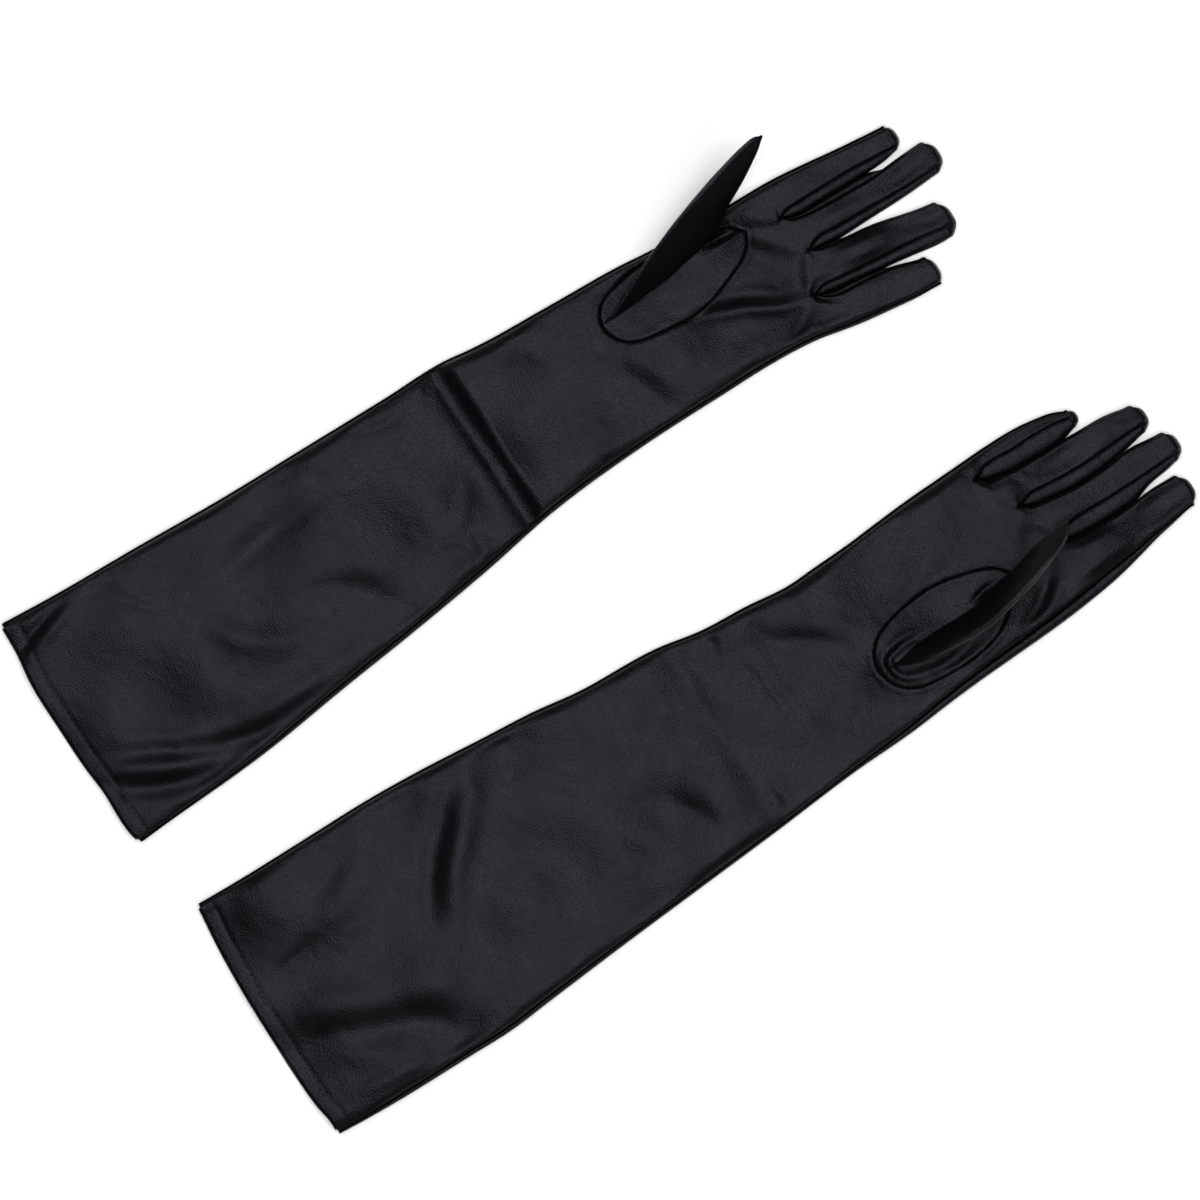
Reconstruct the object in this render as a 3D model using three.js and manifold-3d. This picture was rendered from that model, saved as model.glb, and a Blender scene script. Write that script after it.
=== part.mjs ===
/**
 * A pair of elbow-length opera gloves in coated fabric, lying flat and palm up beside each other.
 *
 * Millimetres, +Z up. +X runs from the cuffs to the fingertips, and the gloves lie on the plane z = 0.
 * The left glove is the one at +Y. Each glove is sewn from a palm panel, a back panel, six
 * fourchettes (the side walls of the fingers), a two-part thumb with an oval base, and a turned hem.
 * The two panels are divided where the glove bends: at the elbow fold and at the finger roots.
 */
import * as THREE from 'three';
import { mergeVertices } from 'three/addons/utils/BufferGeometryUtils.js';
import Module from 'manifold-3d';

const wasm = await Module();
wasm.setup();

// ---------------------------------------------------------------- driving dimensions

const SHEET = 1.0; // coated fabric with its knitted lining
const SEAM_GAP = 0.3; // clearance where two pieces are sewn together
const JOINT_GAP = 0.4; // half of the clearance where the glove bends
const EDGE_ROLL = 18; // how far in from a side seam the palm panel still rises
const ROLL_FULLNESS = 0.8; // under 1 makes that rise rounder
const CUFF_HEIGHT = 10.5;
const SLEEVE_HEIGHT = 11;
const CREASE_HEIGHT = 9;
const PALM_HEIGHT = 10;
const FINGER_HEIGHT = 8;
const CUFF_REACH = 60; // from the cuff edge to the sleeve's full height
const FOLD_REACH = [40, 60]; // from the elbow fold to full height, on the sleeve and on the hand
const ROOT_REACH = [30, 40]; // from the finger roots to level, on the hand and on the fingers
const TIP_LENGTH = 7; // rounded end of a finger
const TIP_BLUNTNESS = 0.6; // share of the width left at the very tip
const TIP_STEPS = [0.45, 0.75, 0.92, 1]; // sections round a fingertip
const WALL_INSET = 5.5; // how far a fourchette leans in under the palm face
const WALL_END = 0.7; // how far round a fingertip a fourchette runs
const ROOT_CLEARANCE = 0.45; // between a finger and the edge of the hand beside it
const SEAM_PROFILE = [[0, 0], [0.05, 0.55], [0.16, 1]]; // share of the width, share of the height
const HEM_DEPTH = 7;
const HEM_SHEET = 0.8;
const HEM_INSET = 5; // from a side seam to the hem band
const HEM_SPREAD = 1.6; // inset for each mm of clearance, where the panel slopes
const THREAD = 0.5;
const THUMB_THICKNESS = 9; // across the flattened thumb
const THUMB_ROOT = 6.5; // from the thumb's hinge line to the lower edge of its two halves
const THUMB_HINGE_HEIGHT = 10.8;
const THUMB_OPENING = 2; // how far below its root the thumb's hollow is cut, so that it opens
const SLOT_WIDTH = 7; // opening from the hand into the thumb
const SLOT_ENDS = [22, 66]; // along the hinge line, from the heel of the thumb
const OVAL_CUT = 1.1; // the lowest the opening for the thumb's base is cut

const FLANGE_TOP = 2 * SHEET + SEAM_GAP; // top of the palm panel at a side seam
const ROLL_STEPS = [0, 3, 7, 12, EDGE_ROLL];
const FAR = 400; // longer than any piece, for cutting blocks

// Outlines seen from above, as points [x, y]. low is the edge towards -Y, high the one towards +Y.
const GLOVES = [
  {
    side: 'left',
    thumbSide: 1,
    crease: -10,
    low: [[-286.5, 27], [-200, 30.5], [-100, 41], [-10, 53], [50, 56.3], [100, 56], [145, 54.5], [190, 46.3]],
    high: [[-286.5, 162.4], [-200, 157], [-100, 152.5], [-10, 150], [50, 144.5], [112, 139.5], [190, 135]],
    fingers: [
      { name: 'index', joint: 182, tip: 251.5, walls: ['low'],
        low: [[182, 113.2], [245, 113.4]], high: [[182, 136], [215, 131.8], [245, 127.8]] },
      { name: 'middle', joint: 186, tip: 265, walls: ['low', 'high'],
        low: [[186, 92.3], [215, 91.2], [258, 91.4]], high: [[186, 112.4], [215, 109.3], [258, 109.8]] },
      { name: 'ring', joint: 186, tip: 253, walls: ['low', 'high'],
        low: [[186, 68.6], [210, 65.4], [246, 59.6]], high: [[186, 91.4], [220, 86.3], [246, 80]] },
      { name: 'little', joint: 176, tip: 231.5, walls: ['high'],
        low: [[176, 49], [200, 44.8], [225, 42.4]], high: [[176, 67.6], [200, 65], [225, 58.5]] },
    ],
    oval: { x: 112, y: 117.5, length: 90, width: 35, turn: 0 },
    thumb: { heel: [70, 121.3], crotch: [148, 129], lean: 50, scale: 1 },
  },
  {
    side: 'right',
    thumbSide: -1,
    crease: 5,
    low: [[-281.5, -158.5], [-250, -160.5], [-175, -163.2], [-100, -157], [5, -150.5], [90, -146.5],
      [150, -142.8], [215, -138.6]],
    high: [[-281.5, -17.5], [-200, -19.5], [-150, -21.5], [-50, -33], [5, -37.7], [75, -47],
      [150, -43.5], [215, -42.3]],
    fingers: [
      { name: 'index', joint: 215, tip: 280, walls: ['high'],
        low: [[215, -138.6], [240, -134], [273, -127.5]], high: [[215, -107.8], [250, -109.5], [273, -109]] },
      { name: 'middle', joint: 215, tip: 286.5, walls: ['low', 'high'],
        low: [[215, -104.8], [240, -107.4], [279, -103.5]], high: [[215, -83.4], [240, -86], [279, -86.3]] },
      { name: 'ring', joint: 208, tip: 280.5, walls: ['low', 'high'],
        low: [[208, -81.2], [225, -83], [273, -82.4]], high: [[208, -60.8], [240, -62], [273, -65.8]] },
      { name: 'little', joint: 194, tip: 250, walls: ['low'],
        low: [[194, -58], [220, -60.9], [243, -59.8]], high: [[194, -42.3], [220, -43], [243, -48.4]] },
    ],
    oval: { x: 131, y: -110.5, length: 88, width: 42, turn: 3 },
    thumb: { heel: [97, -115], crotch: [165, -107.5], lean: 80, scale: 0.9 },
  },
];

// The thumb laid flat: x along the line that joins it to its base, y away from that line.
const THUMB_RIDGE = [[8, THUMB_ROOT], [31, 16], [62, 29], [93, 37.5], [117, 41.8]];
const THUMB_TIP = [[124, 41], [126.5, 37], [124, 33]];
const THUMB_LOWER = [[112, 24], [101, 15.5], [90, THUMB_ROOT]];

const MATERIALS = {
  shell: new THREE.MeshStandardMaterial({ color: 0x161618, roughness: 0.42, metalness: 0 }),
  wall: new THREE.MeshStandardMaterial({ color: 0x101012, roughness: 0.45, metalness: 0 }),
  hem: new THREE.MeshStandardMaterial({ color: 0x131315, roughness: 0.5, metalness: 0 }),
  thread: new THREE.MeshStandardMaterial({ color: 0x0c0c0e, roughness: 0.8, metalness: 0 }),
};

const pair = new THREE.Group();

// ---------------------------------------------------------------- helpers

/** The y of an outline at x, on a smooth curve through its points. */
function edge(points) {
  const along = points.map(([x]) => x);
  const across = points.map(([, y]) => y);
  const curve = new THREE.CubicInterpolant(along, across, 1);
  return (x) => curve.evaluate(x)[0];
}

/** count + 1 evenly spaced values from start to end. */
function steps(start, end, count) {
  return Array.from({ length: count + 1 }, (_, i) => start + ((end - start) * i) / count);
}

/** A closed solid between two grids of points, the top one above the bottom one. */
function sheetBetween(top, bottom) {
  const rows = top.length;
  const columns = top[0].length;
  const positions = [...top.flat(), ...bottom.flat()].flat();
  const above = (i, j) => i * columns + j;
  const below = (i, j) => (rows + i) * columns + j;
  const faces = [];
  const quad = (a, b, c, d) => faces.push(a, b, c, a, c, d);
  for (let i = 0; i < rows - 1; i += 1) {
    for (let j = 0; j < columns - 1; j += 1) {
      quad(above(i, j), above(i + 1, j), above(i + 1, j + 1), above(i, j + 1));
      quad(below(i, j), below(i, j + 1), below(i + 1, j + 1), below(i + 1, j));
    }
    const last = columns - 1;
    quad(above(i, 0), below(i, 0), below(i + 1, 0), above(i + 1, 0));
    quad(above(i, last), above(i + 1, last), below(i + 1, last), below(i, last));
  }
  for (let j = 0; j < columns - 1; j += 1) {
    const last = rows - 1;
    quad(above(0, j), above(0, j + 1), below(0, j + 1), below(0, j));
    quad(above(last, j), below(last, j), below(last, j + 1), above(last, j + 1));
  }
  const geometry = new THREE.BufferGeometry();
  geometry.setAttribute('position', new THREE.Float32BufferAttribute(positions, 3));
  geometry.setIndex(faces);
  return geometry;
}

/** A shape in the XY plane, as a solid from z = low to z = high. */
function prism(shape, low, high) {
  const geometry = new THREE.ExtrudeGeometry(shape, { depth: high - low, bevelEnabled: false });
  return geometry.translate(0, 0, low);
}

/** A box from one corner to the opposite one. */
function block(from, to) {
  const size = to.map((value, axis) => value - from[axis]);
  const centre = to.map((value, axis) => (value + from[axis]) / 2);
  return new THREE.BoxGeometry(...size).translate(...centre);
}

/** A geometry as a solid that can be joined and cut. */
function solid(geometry) {
  const bare = geometry.clone();
  bare.deleteAttribute('normal');
  bare.deleteAttribute('uv');
  const merged = mergeVertices(bare, 1e-4);
  return new wasm.Manifold(new wasm.Mesh({
    numProp: 3,
    vertProperties: new Float32Array(merged.attributes.position.array),
    triVerts: new Uint32Array(merged.index.array),
  }));
}

/** A solid back as a geometry. */
function geometryOf(body) {
  const mesh = body.getMesh();
  const geometry = new THREE.BufferGeometry();
  geometry.setAttribute('position', new THREE.BufferAttribute(mesh.vertProperties, 3));
  geometry.setIndex(new THREE.BufferAttribute(mesh.triVerts, 1));
  return geometry;
}

/** Whole geometry minus each of the cutters. */
function cut(whole, cutters) {
  return geometryOf(cutters.reduce((body, cutter) => body.subtract(solid(cutter)), solid(whole)));
}

function add(group, name, geometry, material) {
  const mesh = new THREE.Mesh(geometry, material);
  mesh.name = name;
  group.add(mesh);
}

// ---------------------------------------------------------------- panels

/** How far a palm panel has risen, 0 at a side seam and 1 where it runs flat. */
function rise(distance) {
  const share = Math.min(Math.max(distance / EDGE_ROLL, 0), 1);
  return Math.sin((share * Math.PI) / 2) ** ROLL_FULLNESS;
}

/** Height of the palm panel's outer face along the glove. */
function panelHeight(glove) {
  const start = glove.low[0][0];
  const roots = Math.min(...glove.fingers.map((finger) => finger.joint));
  return edge([
    [start, CUFF_HEIGHT],
    [start + CUFF_REACH, SLEEVE_HEIGHT],
    [glove.crease - FOLD_REACH[0], SLEEVE_HEIGHT],
    [glove.crease, CREASE_HEIGHT],
    [glove.crease + FOLD_REACH[1], PALM_HEIGHT],
    [roots - ROOT_REACH[0], PALM_HEIGHT],
    [roots, FINGER_HEIGHT],
    [roots + ROOT_REACH[1], FINGER_HEIGHT],
  ]);
}

/** One row of points across the palm panel's outer face at x, kept inset from both side seams. */
function palmRow(glove, x, inset, drop) {
  const low = glove.lowEdge(x);
  const high = glove.highEdge(x);
  const near = ROLL_STEPS.map((step) => low + Math.max(step, inset));
  const far = ROLL_STEPS.map((step) => high - Math.max(step, inset)).reverse();
  const across = [...new Set([...near, (low + high) / 2, ...far])];
  const top = glove.height(x) - FLANGE_TOP;
  return across.map((y) => [x, y, FLANGE_TOP + top * rise(Math.min(y - low, high - y)) - drop]);
}

function palmPanel(glove, stations) {
  const top = stations.map((x) => palmRow(glove, x, 0, 0));
  const bottom = stations.map((x) => palmRow(glove, x, 0, SHEET));
  return sheetBetween(top, bottom);
}

function backPanel(glove, stations) {
  const row = (z) => (x) => [glove.lowEdge(x), glove.highEdge(x)].map((y) => [x, y, z]);
  return sheetBetween(stations.map(row(SHEET)), stations.map(row(0)));
}

/** The space inside the sleeve between two stations, set in by a clearance from both panels. */
function sleeveInside(glove, from, to, clearance) {
  const stations = [from, to];
  const inset = HEM_INSET + HEM_SPREAD * clearance;
  const top = stations.map((x) => palmRow(glove, x, inset, SHEET + clearance));
  const floor = SHEET + clearance;
  const bottom = top.map((row) => row.map(([x, y]) => [x, y, floor]));
  return sheetBetween(top, bottom);
}

/** A band that lines the cuff, outer clearance to outer clearance plus thickness. */
function cuffBand(glove, from, to, clearance, thickness) {
  const outside = sleeveInside(glove, from, to, clearance);
  const hollow = sleeveInside(glove, from - 1, to + 1, clearance + thickness);
  return cut(outside, [hollow]);
}

function ovalShape({ x, y, length, width, turn }, shrink) {
  const shape = new THREE.Shape();
  const angle = THREE.MathUtils.degToRad(turn);
  shape.absellipse(x, y, length / 2 - shrink, width / 2 - shrink, 0, 2 * Math.PI, false, angle);
  shape.closePath();
  return shape;
}

// ---------------------------------------------------------------- fingers

/** Sections along a finger: each has x, its low and high edge, and the height of its palm face. */
function fingerSections(finger) {
  const low = edge(finger.low);
  const high = edge(finger.high);
  const start = finger.joint + JOINT_GAP;
  const shoulder = finger.tip - TIP_LENGTH;
  const straight = steps(start, shoulder, 4).map((x) => ({ x, tip: 0 }));
  const round = TIP_STEPS.map((tip) => ({ x: shoulder + tip * TIP_LENGTH, tip }));
  return [...straight, ...round].map(({ x, tip }) => {
    const reach = Math.min(x, shoulder);
    const middle = (low(reach) + high(reach)) / 2;
    const half = ((high(reach) - low(reach)) / 2) * Math.sqrt(1 - (1 - TIP_BLUNTNESS ** 2) * tip ** 2);
    const top = FLANGE_TOP + (FINGER_HEIGHT - FLANGE_TOP) * Math.sqrt(1 - tip ** 4);
    return { x, tip, low: middle - half, high: middle + half, top };
  });
}

/** Points across a finger's palm face: level at a fourchette, turned down at a side seam. */
function fingerRow(finger, section, drop) {
  const { tip, low, high, top } = section;
  const width = high - low;
  const lean = Math.min(WALL_INSET, width / 3) * (1 - tip);
  const x = section.x - drop * tip;
  const fall = top - FLANGE_TOP;
  const lowSide = finger.walls.includes('low')
    ? [[x, low + lean, top]]
    : SEAM_PROFILE.map(([share, up]) => [x, low + share * width, FLANGE_TOP + up * fall]);
  const highSide = finger.walls.includes('high')
    ? [[x, high, top]]
    : SEAM_PROFILE.map(([share, up]) => [x, high - share * width, FLANGE_TOP + up * fall]).reverse();
  const centre = [x, (low + lean + high) / 2, top];
  return [...lowSide, centre, ...highSide].map(([px, py, pz]) => [px, py, pz - drop]);
}

function fingerPalmFace(finger, sections) {
  const top = sections.map((section) => fingerRow(finger, section, 0));
  const bottom = sections.map((section) => fingerRow(finger, section, SHEET));
  return sheetBetween(top, bottom);
}

function fingerBackFace(sections) {
  const row = (z) => ({ x, low, high }) => [[x, low, z], [x, high, z]];
  return sheetBetween(sections.map(row(SHEET)), sections.map(row(0)));
}

/** The side wall of a finger, between its back face and its palm face. */
function fourchette(sections, wall) {
  const rows = sections.filter((section) => section.tip < WALL_END);
  const foot = SHEET + SEAM_GAP;
  const inward = wall === 'low' ? 1 : -1;
  const line = (depth) => ({ x, tip, low, high, top }) => {
    const base = wall === 'low' ? low : high;
    const lean = wall === 'low' ? Math.min(WALL_INSET, (high - low) / 3) * (1 - tip) : 0;
    const head = top - SHEET - SEAM_GAP;
    return [[x, base + inward * depth, foot], [x, base + lean + inward * depth, head]];
  };
  const outer = rows.map(line(0));
  const inner = rows.map(line(SHEET));
  return wall === 'low' ? sheetBetween(outer, inner) : sheetBetween(inner, outer);
}

function addFinger(glove, finger, group) {
  const sections = fingerSections(finger);
  const name = `${glove.side}_${finger.name}`;
  add(group, `${name}_palm_face`, fingerPalmFace(finger, sections), MATERIALS.shell);
  add(group, `${name}_back_face`, fingerBackFace(sections), MATERIALS.shell);
  for (const wall of finger.walls) {
    const side = (wall === 'high') === (glove.thumbSide > 0) ? 'thumb_side' : 'little_side';
    add(group, `${name}_fourchette_${side}`, fourchette(sections, wall), MATERIALS.wall);
  }
}

// ---------------------------------------------------------------- thumb

/** The thumb's outline, shrunk by inset on every side but its open root. */
function thumbShape(inset) {
  const vector = ([x, y]) => new THREE.Vector2(x, y);
  const ridge = new THREE.SplineCurve(THUMB_RIDGE.map(vector)).getPoints(8);
  const tip = new THREE.SplineCurve([THUMB_RIDGE.at(-1), ...THUMB_TIP].map(vector)).getPoints(5);
  const lower = new THREE.SplineCurve([THUMB_TIP.at(-1), ...THUMB_LOWER].map(vector)).getPoints(5);
  const outline = [...ridge, ...tip.slice(1), ...lower.slice(1)];
  const shrunk = outline.map((point, i) => {
    const before = outline.at(i - 1);
    const after = outline[(i + 1) % outline.length];
    const along = after.clone().sub(before).normalize();
    return point.clone().add(new THREE.Vector2(along.y, -along.x).multiplyScalar(inset));
  });
  if (inset > 0) {
    shrunk[0].set(THUMB_RIDGE[0][0] + 3 * inset, THUMB_ROOT - THUMB_OPENING);
    shrunk.at(-1).set(THUMB_LOWER.at(-1)[0] - 2 * inset, THUMB_ROOT - THUMB_OPENING);
  }
  return new THREE.Shape(shrunk);
}

/** One half of the thumb: a tray whose rim meets the other half's rim at the outer seam. */
function thumbHalf(direction, scale) {
  const rim = (direction * SEAM_GAP) / 2;
  const face = (direction * THUMB_THICKNESS) / 2;
  const floor = face - direction * SHEET;
  const [low, high] = [rim, face].sort((a, b) => a - b);
  const [hollowLow, hollowHigh] = [rim - direction, floor].sort((a, b) => a - b);
  const tray = cut(prism(thumbShape(0), low, high), [prism(thumbShape(SHEET), hollowLow, hollowHigh)]);
  return tray.scale(scale, 1, 1);
}

function addThumb(glove, group) {
  const [heel, crotch] = [glove.thumb.heel, glove.thumb.crotch];
  const lean = THREE.MathUtils.degToRad(glove.thumb.lean);
  const turn = Math.atan2(crotch[1] - heel[1], crotch[0] - heel[0]);
  const thumb = new THREE.Group();
  thumb.position.set(heel[0], heel[1], THUMB_HINGE_HEIGHT);
  thumb.rotation.set(glove.thumbSide > 0 ? lean : Math.PI - lean, 0, turn, 'ZYX');
  group.add(thumb);
  add(thumb, `${glove.side}_thumb_inner_half`, thumbHalf(glove.thumbSide, glove.thumb.scale), MATERIALS.shell);
  add(thumb, `${glove.side}_thumb_outer_half`, thumbHalf(-glove.thumbSide, glove.thumb.scale), MATERIALS.shell);
}

/** The way from the hand into the thumb, a long slot with round ends along the hinge line. */
function thumbSlot(glove) {
  const [heel, crotch] = [glove.thumb.heel, glove.thumb.crotch];
  const turn = Math.atan2(crotch[1] - heel[1], crotch[0] - heel[0]);
  const radius = SLOT_WIDTH / 2;
  const slot = new THREE.Shape();
  slot.absarc(SLOT_ENDS[0], 0, radius, Math.PI / 2, 1.5 * Math.PI);
  slot.absarc(SLOT_ENDS[1], 0, radius, -Math.PI / 2, Math.PI / 2);
  slot.closePath();
  return prism(slot, 0, 2 * PALM_HEIGHT).rotateZ(turn).translate(heel[0], heel[1], 0);
}

// ---------------------------------------------------------------- glove

function addSleeve(glove, group) {
  const start = glove.low[0][0];
  const stations = steps(start, glove.crease - JOINT_GAP, 8);
  const shell = MATERIALS.shell;
  add(group, `${glove.side}_sleeve_palm_panel`, palmPanel(glove, stations), shell);
  add(group, `${glove.side}_sleeve_back_panel`, backPanel(glove, stations), shell);
  const hem = cuffBand(glove, start, start + HEM_DEPTH, SEAM_GAP, HEM_SHEET);
  add(group, `${glove.side}_cuff_hem`, hem, MATERIALS.hem);
  const seamLine = start + HEM_DEPTH - 1;
  const lining = 2 * SEAM_GAP + HEM_SHEET;
  const thread = cuffBand(glove, seamLine - THREAD, seamLine, lining, THREAD);
  add(group, `${glove.side}_hem_thread`, thread, MATERIALS.thread);
}

function addHand(glove, group) {
  const reach = Math.max(...glove.fingers.map((finger) => finger.joint));
  const stations = steps(glove.crease + JOINT_GAP, reach - JOINT_GAP, 9);
  const roots = glove.fingers.map((finger) => {
    const ends = [finger.joint, reach];
    const low = Math.min(...ends.map(edge(finger.low))) - ROOT_CLEARANCE;
    const high = Math.max(...ends.map(edge(finger.high))) + ROOT_CLEARANCE;
    const from = finger.walls.includes('low') ? low : -FAR;
    const to = finger.walls.includes('high') ? high : FAR;
    return block([finger.joint - JOINT_GAP, from, -1], [FAR, to, 2 * PALM_HEIGHT]);
  });
  const opening = prism(ovalShape(glove.oval, 0), OVAL_CUT, 2 * PALM_HEIGHT);
  const palm = palmPanel(glove, stations);
  const back = backPanel(glove, stations);
  add(group, `${glove.side}_hand_palm_panel`, cut(palm, [...roots, opening]), MATERIALS.shell);
  add(group, `${glove.side}_hand_back_panel`, cut(back, roots), MATERIALS.shell);
  const patch = solid(palm).intersect(solid(prism(ovalShape(glove.oval, SEAM_GAP), 0, 2 * PALM_HEIGHT)));
  const base = geometryOf(patch.subtract(solid(thumbSlot(glove))));
  add(group, `${glove.side}_thumb_base`, base, MATERIALS.shell);
}

for (const glove of GLOVES) {
  glove.lowEdge = edge(glove.low);
  glove.highEdge = edge(glove.high);
  glove.height = panelHeight(glove);
  const group = new THREE.Group();
  addSleeve(glove, group);
  addHand(glove, group);
  for (const finger of glove.fingers) {
    addFinger(glove, finger, group);
  }
  addThumb(glove, group);
  pair.add(group);
}

export default pair;
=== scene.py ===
"""Looks for a pair of black coated-fabric opera gloves, lying flat and palm up beside each other.

Lengths are millimetres until a mesh is made. +X runs from the cuffs to the fingertips, +Z is up.
Each glove is drawn as sheets of cloth: a palm panel, a back panel, six fourchettes, a thumb of two
halves on an oval base, and a turned hem with its stitches. A sheet is laid out as a grid over the
plan of the glove, shaped by its height, and only then divided into pieces where the glove bends.
"""
import math

import bpy
import numpy as np
from mathutils import Matrix, Vector


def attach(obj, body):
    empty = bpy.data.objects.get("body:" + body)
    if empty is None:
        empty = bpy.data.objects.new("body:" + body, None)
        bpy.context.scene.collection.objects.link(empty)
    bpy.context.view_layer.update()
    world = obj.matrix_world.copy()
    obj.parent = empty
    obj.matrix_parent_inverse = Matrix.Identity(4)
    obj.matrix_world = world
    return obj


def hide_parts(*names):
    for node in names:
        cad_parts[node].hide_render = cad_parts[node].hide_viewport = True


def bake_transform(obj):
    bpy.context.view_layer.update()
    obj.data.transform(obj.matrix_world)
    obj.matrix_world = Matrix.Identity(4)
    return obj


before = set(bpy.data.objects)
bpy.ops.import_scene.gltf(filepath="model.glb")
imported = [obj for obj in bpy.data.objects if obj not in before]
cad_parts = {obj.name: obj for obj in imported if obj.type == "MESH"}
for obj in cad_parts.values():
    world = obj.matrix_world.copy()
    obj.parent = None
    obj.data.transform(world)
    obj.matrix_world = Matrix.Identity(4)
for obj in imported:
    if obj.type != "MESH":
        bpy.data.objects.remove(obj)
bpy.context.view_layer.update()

MM = 0.001
CLOTH = 0.6  # thickness of the coated fabric
EDGE_ROUNDING = 0.75  # how far the shading of a cut edge turns outwards

# seams and the edges of the panels
SEAM_GAP = 0.55  # dark line between two edges sewn together
SEAM_Z = 5.2  # height of a side seam at the outline, above the surface
SEAM_VALLEY = 0.5  # depth of the groove along a side seam
GAP_DROP = 0.6  # how far the palm face falls to its edge over a fourchette
FORK_GROOVE = 1.1  # depth of the groove along a fourchette's seam
FOOT_Z = 2.0  # height of the back face's edge under a fourchette
BACK_GAP = 0.15  # added to the thickness of the cloth for the back panel's height
BACK_TUCK = 0.9  # how far a back face laps over the next one, up to where the gap opens
TIP_Z = 2.2  # height of the seam round a fingertip
TIP_NARROWING = 0.12  # share of its width that a finger loses round its tip
SIDE_ROLL = 6.0  # how far in from a side seam the palm panel still curves up
FINGER_ROLL = 2.4  # the same over a fourchette
LOWEST = 2.6  # the palm panel stays this high above the surface, clear of the back panel
FREE_FROM = 7  # folds have their full height this far in from an edge
FAR_INSIDE = 40.0  # stands for the distance from an edge that isn't near
# A rolled side of the back panel, from its seam with the palm panel over the outline and under:
# share of the way from the outline to the seam, height as a share of the seam's, and inset.
SIDE = [(1.0, 0.80, 0), (0.8, 0.93, 0), (0.5, 0.93, 0), (0.22, 0.84, 0), (0.06, 0.68, 0), (0.0, 0.5, 0),
        (0.0, 0.32, 0.4), (0.0, 0.24, 1.2)]

# the seam round the thumb's base, and the way from the hand into the thumb
OVAL_EDGE = SEAM_GAP / 2
OVAL_LINES = (OVAL_EDGE, -OVAL_EDGE, 0.7, -0.7, 1.3, -1.3, 2.2, -2.2)  # edges are laid along these
OVAL_SPACING = 0.4  # of the points on the oval's line
OVAL_MARGIN = 8  # distances are worked out this far round the oval, and are FAR_OUTSIDE beyond
FAR_OUTSIDE = 30.0
SLOT_AWAY = 3.4  # how far the slot in the base lies beside the line of the thumb's foot
SLOT_HALF = 2.4  # half its width

# rows and columns of the grids
ROW = 1.25  # spacing of the rows along a sleeve
CREASE_ROW = 0.7  # closer together over the elbow
HAND_ROW = 0.8  # and over the palm
FINGER_ROW = 1.05
TIP_ROWS = 10
CUFF_REACH = 60  # rows follow the slant of the cuff's edge up to here
COLUMNS = 32  # across each of the four fingers
WALL_COLUMNS = 17
THUMB_ROWS = 130
THUMB_COLUMNS = 40

# folds: spacing of a fold's points and reach in widths, and the ridge beside its valley, in widths
FOLD_SPACING = 1.5
FOLD_MARGIN = 4.5
RIDGE_AWAY = 1.9
RIDGE_WIDTH = 1.1
RIDGE_SHARE = 0.75
# unevenness: height, and the seed, number, shortest and longest length of its waves
BROAD_LIFT, BROAD_WAVES = 1.7, (5, 12, 44, 110)
FINE_LIFT, FINE_WAVES = 0.06, (9, 14, 7, 15)
PUCKER_LIFT, PUCKER_WAVES = 0.16, (3, 5, 3.2, 5.5)
PUCKER_REACH = 3.0
OVAL_LIFT, OVAL_WAVES = 0.1, (21, 6, 5, 10)
THUMB_WAVES = (31, 10, 14, 36)

# the hem: its section is the distance from the cuff's edge and how far inside the cloth it lies
HEM_DEPTH = 7.5
HEM_SECTION = [(-0.45, 0.0), (-0.75, 0.45), (-0.45, 0.95), (0.6, 1.1), (2.5, 1.1), (4.5, 1.15),
               (HEM_DEPTH, 1.25)]
HEM_THICKNESS = -0.35  # it grows outwards
HEM_LOWEST = 2.65  # its palm side stays this high
HEM_GROOVE = 0.55  # depth under the stitches
HEM_SWELL = 0.25  # how far the hem stands out of the cuff
STITCH = 2.7  # length
STITCH_PITCH = 3.5
STITCH_SECTION = [(0.12, -0.10), (0.30, 0.06), (0.30, 0.06), (0.12, -0.10)]  # radius and rise
THREAD_SIDES = 6

# the camera, in millimetres of lens, and the width of the picture at the gloves, in metres
LENS = 200
SENSOR = 36
FIELD = 0.63

# ---- the two gloves, seen from above

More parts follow.
